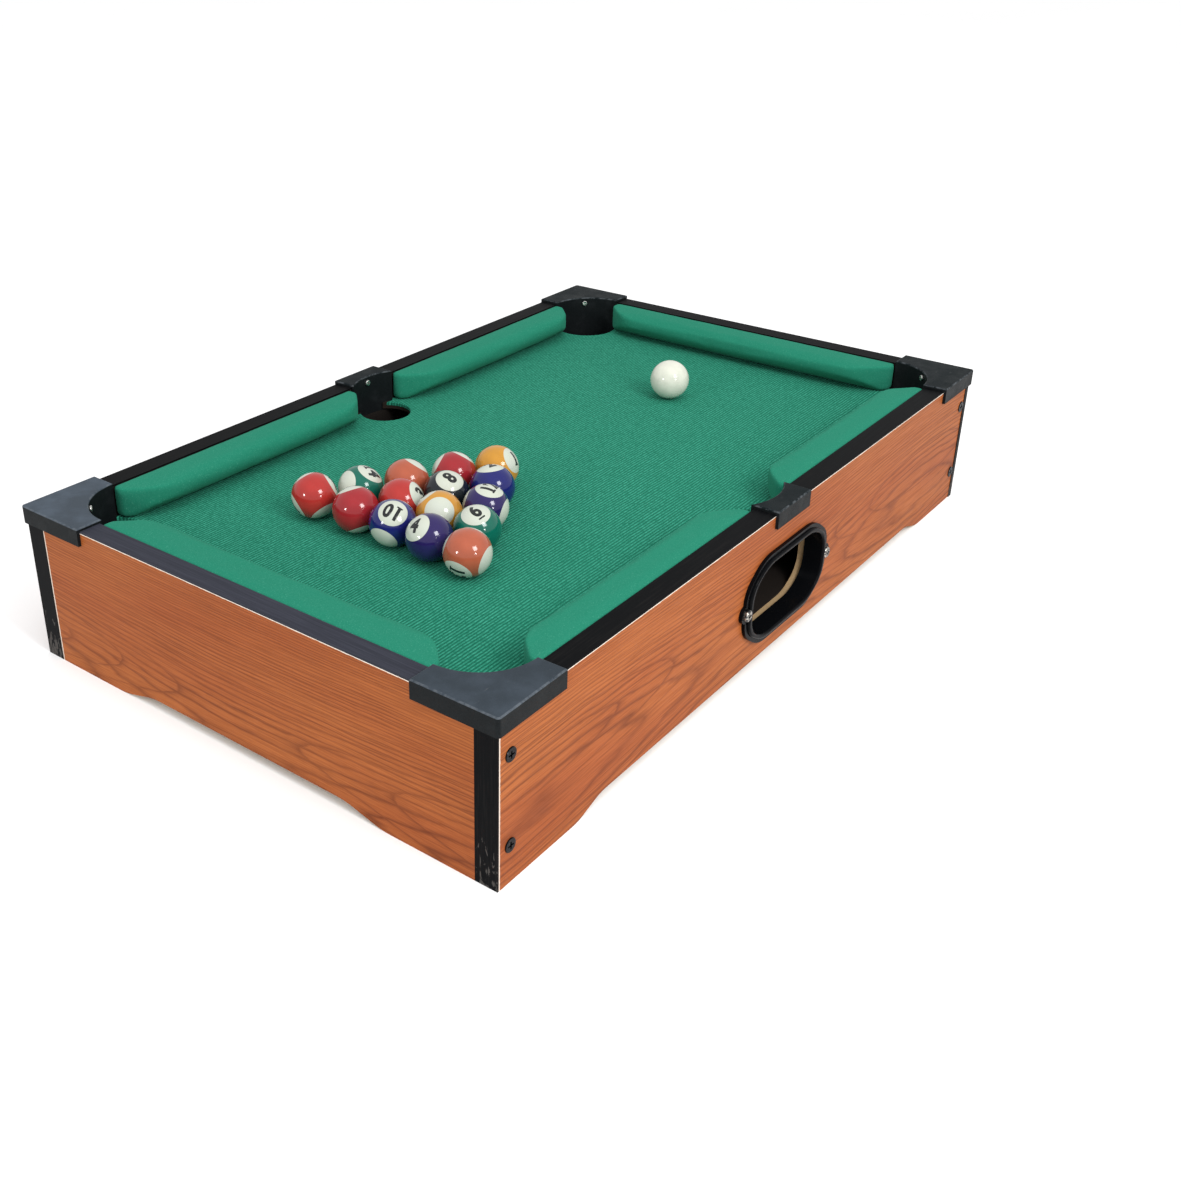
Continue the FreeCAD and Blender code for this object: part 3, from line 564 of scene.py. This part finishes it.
def finish_boards():
    raw = fibreboard("raw_board_edge", colour(190, 162, 124), colour(154, 126, 90))
    # the boards' other faces are raw board too, painted near black here as painted shade inside the table
    back = fibreboard("board_inside_painted_shade", colour(32, 27, 24), colour(22, 19, 17))
    # how each board's print lies, and the signs of the ends where its pale backing edge, partly a painted
    # highlight, shows
    boards = {
        "front_panel": ("x", -0.027, 0.053, 0.42, 5200.0, (-1,)),
        "rear_panel": ("x", 0.060, 0.041, 0.46, 5000.0, (1,)),
        "left_panel": ("y", 0.000, 0.030, 0.40, 4300.0, (1,)),
        "right_panel": ("y", 0.035, 0.048, 0.38, 5000.0, (-1,)),
    }
    for node, (along, *print_lie) in boards.items():
        across = 1 if along == "x" else 0
        low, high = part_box(node)
        out = 1 if low[across] + high[across] > 0 else -1
        cover(node, laminate(node + "_laminate", along, *print_lie), raw, back)

        def side_of_board(normal, middle):
            """The print outside, raw board round the return hole and under the feet, and elsewhere board
            painted near black as painted shade.
            """
            if out * normal[across] > 0.9:
                return 0
            near_return = abs(middle.x) < RETURN_REACH and middle.z < RETURN_TOP
            in_return_hole = node == "front_panel" and near_return
            edge_face = abs(normal[across]) < 0.5
            return 1 if edge_face and (in_return_hole or middle.z < FEET_TOP) else 2

        faces_of(node, side_of_board)
    # the left end's tape has faded most
    tapes = {"front": ("x", 0.0), "rear": ("x", 0.0), "left": ("y", 0.6), "right": ("y", 0.0)}
    for side, (along, faded) in tapes.items():
        cover(side + "_top_band", black_band(side + "_top_band_tape", along, faded))
    upright = black_band("end_band_tape", "z")
    cover("front_end_bands", upright)
    cover("rear_end_bands", upright)


def finish_inner_parts():
    # the tray and the playfield's underside are brown board, painted near black as painted shade inside the
    # table, seen through the pockets
    tray = fibreboard("tray_hardboard_painted_shade", colour(34, 28, 24), colour(22, 18, 16))
    under = fibreboard("playfield_underside_painted_shade", colour(46, 38, 32), colour(32, 26, 22))
    wood = softwood("softwood")
    cover("playfield_board", under)
    for node in nodes:
        if node.endswith("_tray"):
            cover(node, tray)
        elif node.endswith(("_bearer", "_cleat", "_corner_block")):
            cover(node, wood)


# how far the upper face of a pocket cap has faded
CAP_FADING = {
    "rear_left_corner_cap": 0.70,
    "front_left_corner_cap": 0.42,
}


def finish_plastic_and_metal():
    walls = wall_plastic("cap_plastic_walls")
    for node in nodes:
        if node.endswith(("_corner_cap", "_middle_cap")):
            faded = CAP_FADING.get(node, 0.0)
            cover(node, cap_plastic(node + "_plastic", faded), walls)
            faces_of(node, lambda normal, _middle: 0 if normal.z > 0.12 else 1)
    cover("return_bezel", gloss_black("bezel_plastic"))
    screws = {
        "panel_screws": ("panel_screw_black", colour(96, 98, 102), colour(24, 25, 28), 0.34, 0.60),
        "bezel_screws": ("bezel_screw_worn", colour(196, 192, 182), colour(74, 74, 76), 0.26, 0.46),
        "pocket_screws": ("pocket_screw_bright", colour(214, 214, 210), colour(134, 134, 132), 0.22, 0.36),
    }
    for node, finish in screws.items():
        cover(node, metal(*finish))
    for node in ("return_bezel", *screws):
        nodes[node].data.shade_smooth()
        nodes[node].data.set_sharp_from_angle(angle=math.radians(35))


# ---- the playfield's cloth -------------------------------------------------------------------------
CLOTH_GRID = 8 * MM
# the cloth's edge at a pocket, as distances out and up: its flat face, its soft bend, then the hole's wall
CLOTH_HEM = [(-0.9 * MM, 0.0), (-0.25 * MM, -0.10 * MM), (0.20 * MM, -0.42 * MM), (0.24 * MM, -2.2 * MM)]
# along the boards the bend ends this far down, and the edge goes straight on to the playfield board
HEM_BEND = 0.42 * MM
# how far the cut edge strays in the pockets, and how many times in a metre
HEM_STRAY = 0.14 * MM
STRAYS_PER_METRE = 900


def arc(centre, radius, start, end, step=1.0 * MM):
    """Points along an arc, from one angle to another, in degrees."""
    count = max(2, math.ceil(abs(math.radians(end - start)) * radius / step))
    angles = [math.radians(start + (end - start) * number / count) for number in range(count + 1)]
    return [Vector((centre[0] + radius * math.cos(a), centre[1] + radius * math.sin(a))) for a in angles]


def corner_notch(sign_x, sign_y):
    """The cloth's edge round a corner pocket, from the long side to the short side."""
    centre_x = sign_x * (TABLE_LENGTH / 2 - CORNER_HOLE_INSET)
    centre_y = sign_y * (TABLE_WIDTH / 2 - CORNER_HOLE_INSET)
    reach = CAP_ARM - CORNER_HOLE_INSET
    dip = math.degrees(math.asin(-math.sqrt(CORNER_HOLE_RADIUS ** 2 - reach ** 2) / CORNER_HOLE_RADIUS))
    edge = []
    for point in arc((0, 0), CORNER_HOLE_RADIUS, dip, 90 - dip):
        edge.append(Vector((centre_x - sign_x * point.x, centre_y - sign_y * point.y)))
    # the arc starts at the end on the long side: far along X, close to the long board
    start = [Vector((sign_x * (TABLE_LENGTH / 2 - CAP_ARM), sign_y * (TABLE_WIDTH / 2 - BOARD_THICK)))]
    end = [Vector((sign_x * (TABLE_LENGTH / 2 - BOARD_THICK), sign_y * (TABLE_WIDTH / 2 - CAP_ARM)))]
    return start + edge + end


def middle_notch(sign_y):
    """The cloth's edge round a middle pocket, from its -X end to its +X end."""
    edge_y = TABLE_WIDTH / 2 - BOARD_THICK
    arc_centre = TABLE_WIDTH / 2 - MIDDLE_ARC_INSET
    hole_centre = TABLE_WIDTH / 2 - MIDDLE_HOLE_INSET
    wall_y = arc_centre + math.sqrt(MIDDLE_ARC_RADIUS ** 2 - MIDDLE_CAP_HALF ** 2)
    hole_start = math.degrees(math.asin((wall_y - hole_centre) / MIDDLE_HOLE_RADIUS))
    half = [Vector((-MIDDLE_CAP_HALF, edge_y)), Vector((-MIDDLE_CAP_HALF, wall_y))]
    hole = arc((0, hole_centre), MIDDLE_HOLE_RADIUS, 180 - hole_start, 360 + hole_start)
    other = [Vector((-point.x, point.y)) for point in reversed(half)]
    return [Vector((point.x, sign_y * point.y)) for point in half + hole + other]


def cloth_outline():
    """The cloth's edge, anticlockwise from above, starting at the front left pocket."""
    points = list(reversed(corner_notch(-1, -1)))
    points += middle_notch(-1)
    points += corner_notch(1, -1)
    points += reversed(corner_notch(1, 1))
    points += reversed(middle_notch(1))
    points += corner_notch(-1, 1)
    return points


def outward(points, number):
    """The direction out of an anticlockwise outline at one of its points."""
    before = points[number] - points[number - 1]
    after = points[(number + 1) % len(points)] - points[number]
    way = before.normalized() + after.normalized()
    return Vector((way.y, -way.x)).normalized()


def fill_with_grid(mesh, ring):
    """Fills a flat outline with even triangles, laid over a grid of points inside it."""
    outline = [Vector(vertex.co.xy) for vertex in ring]
    count_x = round(TABLE_LENGTH / CLOTH_GRID)
    count_y = round(TABLE_WIDTH / CLOTH_GRID)
    grid = []
    for step_x in range(count_x + 1):
        for step_y in range(count_y + 1):
            spot = Vector(((step_x / count_x - 0.5) * TABLE_LENGTH, (step_y / count_y - 0.5) * TABLE_WIDTH))
            if min((spot - point).length for point in outline) > CLOTH_GRID / 3:
                grid.append(spot)
    laid = delaunay_2d_cdt(outline + grid, [], [list(range(len(outline)))], 1, 1e-7)
    spots, _edges, triangles, sources = laid[:4]
    level = ring[0].co.z
    corners = {}
    for number in sorted({number for triangle in triangles for number in triangle}):
        from_ring = [source for source in sources[number] if source < len(ring)]
        spot = spots[number]
        corners[number] = ring[from_ring[0]] if from_ring else mesh.verts.new((spot.x, spot.y, level))
    for triangle in triangles:
        mesh.faces.new([corners[number] for number in triangle])


def make_playfield_cloth():
    """The cloth over the playfield board: flat, with its edge turned down into the pockets."""
    points = cloth_outline()
    count = len(points)
    half_x = TABLE_LENGTH / 2 - BOARD_THICK
    half_y = TABLE_WIDTH / 2 - BOARD_THICK
    mesh = bmesh.new()
    rings = []
    for out, rise in CLOTH_HEM:
        ring = []
        for number, point in enumerate(points):
            in_pocket = abs(point.x) < half_x - 1e-5 and abs(point.y) < half_y - 1e-5
            ragged = HEM_STRAY * noise.noise(Vector((point.x, point.y, 0)) * STRAYS_PER_METRE)
            way = outward(points, number)
            spot = point + way * ((out + ragged) if in_pocket else min(out, 0.0))
            level = FELT_TOP + (rise if in_pocket else max(rise, -HEM_BEND))
            ring.append(mesh.verts.new((spot.x, spot.y, level)))
        rings.append(ring)
    fill_with_grid(mesh, rings[0])
    for upper, lower in zip(rings, rings[1:]):
        for number in range(count):
            following = (number + 1) % count
            quad = (upper[number], lower[number], lower[following], upper[following])
            mesh.faces.new(quad)
    for vertex in rings[-1]:
        vertex.co.z = min(vertex.co.z, FELT_TOP - FELT_THICK)
    bmesh.ops.remove_doubles(mesh, verts=mesh.verts, dist=1e-6)
    bmesh.ops.recalc_face_normals(mesh, faces=mesh.faces)
    cloth = finished("playfield_cloth", mesh, [felt("ribbed_felt", True)], smooth=False)
    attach(cloth, "table")
    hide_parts("playfield_felt")


# ---- the cushions ----------------------------------------------------------------------------------
CUSHIONS = [
    "front_left_cushion", "front_right_cushion", "rear_left_cushion",
    "rear_right_cushion", "left_cushion", "right_cushion",
]
CUSHION_VOXEL = 1.8 * MM
CUSHION_SWELL = 0.9 * MM
CUSHION_STEPS = 16
CUSHION_PRESSURE = 4.0
CUSHION_STIFFNESS = 40.0
HELD_WITHIN = 1.2 * MM
# the height of the ripples in the felt, and how many of them there are in a metre
RIPPLES = [(0.16 * MM, 60), (0.07 * MM, 260)]


def held_points(cushion, low, wall):
    """The points that rest on the playfield, or against the rail's inner face."""
    axis, side = wall
    held = []
    for vertex in cushion.data.vertices:
        from_wall = abs(vertex.co[axis] - side)
        if from_wall < HELD_WITHIN or vertex.co.z < low.z + HELD_WITHIN:
            held.append(vertex.index)
    return held


def wall_of(name):
    """The axis that a cushion's rail faces along, and where the rail's inner face is."""
    if name in ("left_cushion", "right_cushion"):
        side = TABLE_LENGTH / 2 - BOARD_THICK
        return 0, -side if name == "left_cushion" else side
    side = TABLE_WIDTH / 2 - BOARD_THICK
    return 1, -side if name.startswith("front") else side


def make_cushions():
    """Foam strips under tight felt: each swells a little between the places where it is held."""
    material = felt("cushion_felt", False)
    made = {}
    for name in CUSHIONS:
        cushion = bpy.data.objects.new(name + "_cover", nodes[name].data.copy())
        scene.collection.objects.link(cushion)
        with_modifier(cushion, "REMESH", mode="VOXEL", voxel_size=CUSHION_VOXEL, use_smooth_shade=True)
        with_modifier(cushion, "SMOOTH", factor=0.5, iterations=3)
        made[name] = cushion
    swell(made)
    for name, cushion in made.items():
        with_modifier(cushion, "SUBSURF", levels=1, render_levels=1)
        soften(cushion)
        cushion.data.materials.clear()
        cushion.data.materials.append(material)
        for face in cushion.data.polygons:
            face.material_index = 0
        cushion.data.shade_smooth()
        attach(cushion, "table")
        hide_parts(name)


def swell(made):
    """Cloth under light pressure, held at the rail and the playfield. CUSHION_SWELL caps the swelling."""
    rest = {}
    for name, cushion in made.items():
        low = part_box(name)[0]
        rest[name] = [vertex.co.copy() for vertex in cushion.data.vertices]
        group = cushion.vertex_groups.new(name="held")
        group.add(held_points(cushion, low, wall_of(name)), 1.0, "REPLACE")
        cloth = cushion.modifiers.new("cloth", "CLOTH")
        cloth.settings.vertex_group_mass = "held"
        cloth.settings.use_pressure = True
        cloth.settings.uniform_pressure_force = CUSHION_PRESSURE
        cloth.settings.effector_weights.gravity = 0.0
        cloth.settings.tension_stiffness = CUSHION_STIFFNESS
        cloth.settings.compression_stiffness = CUSHION_STIFFNESS
        cloth.point_cache.frame_start = 1
        cloth.point_cache.frame_end = CUSHION_STEPS
    for step in range(1, CUSHION_STEPS + 1):
        scene.frame_set(step)
    for name, cushion in made.items():
        moved = resolved(cushion)
        cushion.modifiers.clear()
        for vertex, start in zip(moved.vertices, rest[name]):
            shift = vertex.co - start
            if shift.length > CUSHION_SWELL:
                shift.length = CUSHION_SWELL
            vertex.co = start + shift
        cushion.data = moved
        cushion.vertex_groups.clear()
    scene.frame_set(1)


def soften(cushion):
    """Small dents and ripples of the felt, in the shape itself."""
    outward_ways = [vertex.normal.copy() for vertex in cushion.data.vertices]
    for vertex, way in zip(cushion.data.vertices, outward_ways):
        vertex.co += way * sum(height * noise.noise(vertex.co * count) for height, count in RIPPLES)


# ---- the balls -------------------------------------------------------------------------------------
BALL_COLOURS = {
    1: colour(190, 134, 46), 2: colour(27, 31, 100), 3: colour(167, 46, 42), 4: colour(38, 27, 84),
    5: colour(168, 86, 61), 6: colour(12, 96, 80), 7: colour(150, 35, 41), 8: colour(22, 29, 35),
}
IVORY = colour(186, 191, 180)
CUE_IVORY = colour(213, 214, 200)
# the angle from the middle of an ivory cap to its edge, in degrees: round a number, and at a stripe's poles
DISC_SPREAD = 37.0
POLE_SPREAD = 38.0

# which way each ball has rolled, as the camera sees it: where its number faces and where the number's top
# points, each as shares of a length to the right, up and towards the camera
BALL_TURNS = {
    1: ((0.81, 0.38, 0.44), (-0.41, 0.91, -0.03)),
    2: ((-0.12, 0.96, 0.22), (-0.50, 0.00, -0.85)),
    3: ((0.84, 0.33, 0.43), (-0.60, 0.80, 0.56)),
    4: ((-0.60, 0.47, 0.65), (0.35, 0.94, -0.36)),
    5: ((0.52, 0.85, 0.05), (-0.85, 0.52, 0.00)),
    6: ((-0.08, 0.70, 0.71), (-0.80, 0.57, -0.65)),
    7: ((0.30, -0.95, 0.05), (0.95, 0.30, 0.00)),
    8: ((0.18, 0.67, 0.72), (-0.82, 0.56, -0.32)),
    9: ((0.62, -0.77, 0.10), (0.00, 0.13, 0.98)),
    10: ((0.00, 0.49, 0.87), (-0.50, -0.85, 0.47)),
    11: ((0.85, 0.52, 0.00), (0.51, -0.83, 0.23)),
    12: ((0.18, 0.86, 0.47), (-0.95, 0.30, -0.19)),
    13: ((-0.45, -0.82, 0.35), (0.89, -0.37, 0.27)),
    14: ((0.50, 0.77, 0.40), (0.77, -0.18, -0.61)),
    15: ((0.48, 0.87, -0.08), (-0.87, 0.48, 0.00)),
}
NUMBER_HEIGHT = 8.6 * MM
NUMBER_WEIGHT = 0.52 * MM
NUMBER_RISE = 0.04 * MM
# the font's size is this many times the height of its digits
FONT_HEIGHT = 1.36
DIGIT_PITCH = 5.5 * MM
DIGIT_SQUEEZE = 0.84
DIGIT_EDGE = 0.9 * MM
BAR_HEIGHT = 1.05 * MM
BAR_THICK = 1.9 * NUMBER_RISE
FOOT_WIDTH = 3.6 * MM
UNDERLINE_WIDTH = 4.4 * MM
UNDERLINE_DROP = 1.3 * MM


def ball_material(name, paint_colour, ivory_caps):
    """Polished resin, with an ivory cap round each of the given directions and its opposite."""
    paint = Paint(name)
    place = paint.coordinates()
    way = paint.add("VectorMath", {0: place}, operation="NORMALIZE").outputs[0]
    clouds = paint.noise(place, 160.0, 3.0, 0.5)
    ivory = paint.mix(paint.range(clouds, 0.3, 0.7, 0.0, 0.35), IVORY, colour(186, 190, 170))
    deep = tuple(part * 0.8 for part in paint_colour[:3]) + (1,)
    tone = paint.mix(paint.range(clouds, 0.3, 0.7, 0.0, 0.5), paint_colour, deep)
    for direction, spread in ivory_caps:
        edges = [math.cos(math.radians(spread + blur)) for blur in (0.5, -0.5)]
        tone = paint.mix(paint.range(paint.along(way, direction), *edges), tone, ivory)
    paint.base(tone)
    scratches = paint.noise(paint.stretch(place, (500.0, 2600.0, 700.0)), 1.0, 3.0, 0.7)
    paint.roughness(paint.range(scratches, 0.35, 0.75, 0.09, 0.22))
    paint.set(specular=0.3, coat=0.4, coat_roughness=0.03)
    paint.bump(scratches, 0.02 * MM, 0.25)
    return paint.material


def ink(name):
    """Black printing ink, worn a little unevenly."""
    paint = Paint(name)
    place = paint.coordinates()
    fade = paint.noise(place, 1500.0, 3.0, 0.6)
    paint.base(paint.mix(paint.range(fade, 0.3, 0.7), colour(16, 18, 20), colour(34, 36, 38)))
    paint.set(roughness=0.2, specular=0.5)
    return paint.material


def digit_mesh(digit):
    """One digit as a thin flat solid in the XY plane, as a mesh."""
    curve = bpy.data.curves.new("digit", "FONT")
    curve.body = digit
    curve.size = NUMBER_HEIGHT * FONT_HEIGHT
    curve.align_x = "CENTER"
    curve.align_y = "CENTER"
    curve.offset = NUMBER_WEIGHT
    curve.extrude = NUMBER_RISE
    curve.resolution_u = 8
    thing = bpy.data.objects.new("digit", curve)
    scene.collection.objects.link(thing)
    flat = resolved(thing)
    bpy.data.objects.remove(thing)
    return flat


def add_bar(shape, centre_x, centre_y, width):
    """Adds a bar that lies across the number: the foot of a 1, or the line under a 6 or 9."""
    size = Matrix.Diagonal((width, BAR_HEIGHT, BAR_THICK, 1))
    bmesh.ops.create_cube(shape, size=1.0, matrix=Matrix.Translation((centre_x, centre_y, 0)) @ size)


def number_mesh(text):
    """The number as thin flat solids, finely divided, in the XY plane with its top towards +Y."""
    shape = bmesh.new()
    for order, digit in enumerate(text):
        middle = (order - (len(text) - 1) / 2) * DIGIT_PITCH
        flat = digit_mesh(digit)
        flat.transform(Matrix.Translation((middle, 0, 0)) @ Matrix.Diagonal((DIGIT_SQUEEZE, 1, 1, 1)))
        low = min(vertex.co.y for vertex in flat.vertices)
        shape.from_mesh(flat)
        bpy.data.meshes.remove(flat)
        if digit == "1":
            add_bar(shape, middle + 0.1 * MM, low + BAR_HEIGHT / 2, FOOT_WIDTH)
        if text in ("6", "9"):
            add_bar(shape, middle, low - UNDERLINE_DROP, UNDERLINE_WIDTH)
    bmesh.ops.remove_doubles(shape, verts=shape.verts, dist=1e-6)
    bmesh.ops.triangulate(shape, faces=shape.faces)
    for _round in range(4):
        long_edges = [edge for edge in shape.edges if edge.calc_length() > DIGIT_EDGE]
        if not long_edges:
            break
        bmesh.ops.subdivide_edges(shape, edges=long_edges, cuts=1)
        bmesh.ops.triangulate(shape, faces=[face for face in shape.faces if len(face.verts) > 3])
    return shape


def ball_mesh(text):
    """A finely divided ball with its number inlaid on two opposite sides, as one mesh."""
    mesh = bmesh.new()
    bmesh.ops.create_icosphere(mesh, subdivisions=5, radius=BALL_RADIUS)
    if not text:
        return mesh
    for side in (1, -1):
        number = number_mesh(text)
        copies = {}
        for vertex in number.verts:
            way = Vector((BALL_RADIUS, vertex.co.x, vertex.co.y)).normalized()
            spot = way * (BALL_RADIUS + vertex.co.z)
            copies[vertex] = mesh.verts.new((side * spot.x, side * spot.y, spot.z))
        for face in number.faces:
            corners = [copies[vertex] for vertex in face.verts]
            if mesh.faces.get(corners) is None:
                mesh.faces.new(corners).material_index = 1
        number.free()
    return mesh


def turn_of(number, centre):
    """Where a ball's number faces and where the number's top points, by its row in BALL_TURNS."""
    back = (CAMERA_AT - centre).normalized()
    right = camera_axes()[0]
    right = (right - right.dot(back) * back).normalized()
    up = back.cross(right)

    def seen(shares):
        return (shares[0] * right + shares[1] * up + shares[2] * back).normalized()

    facing, top = (seen(shares) for shares in BALL_TURNS[number])
    return facing, (top - top.dot(facing) * facing).normalized()


def make_balls():
    """The cue ball and the fifteen numbered balls, each turned as it came to rest."""
    black = ink("number_ink")
    for number in range(16):
        node = f"ball_{number:02d}" if number else "cue_ball"
        low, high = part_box(node)
        centre = (low + high) / 2
        if number:
            facing, top = turn_of(number, centre)
            ivory_caps = [(facing, DISC_SPREAD)]
            if number > 8:
                ivory_caps.append((top, POLE_SPREAD))
            shade = BALL_COLOURS[number if number < 9 else number - 8]
            resin = ball_material(node + "_resin", shade, ivory_caps)
            ball = finished(node + "_polished", ball_mesh(str(number)), [resin, black])
            ball.data.transform(columns(facing, top.cross(facing), top))
        else:
            resin = ball_material(node + "_resin", CUE_IVORY, [])
            ball = finished(node + "_polished", ball_mesh(""), [resin])
        ball.location = centre
        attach(ball, node)
        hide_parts(node)


# ---- the whole scene -------------------------------------------------------------------------------
place_camera()
light_the_studio()
lay_the_floor()
finish_boards()
finish_inner_parts()
finish_plastic_and_metal()
make_playfield_cloth()
make_cushions()
make_balls()
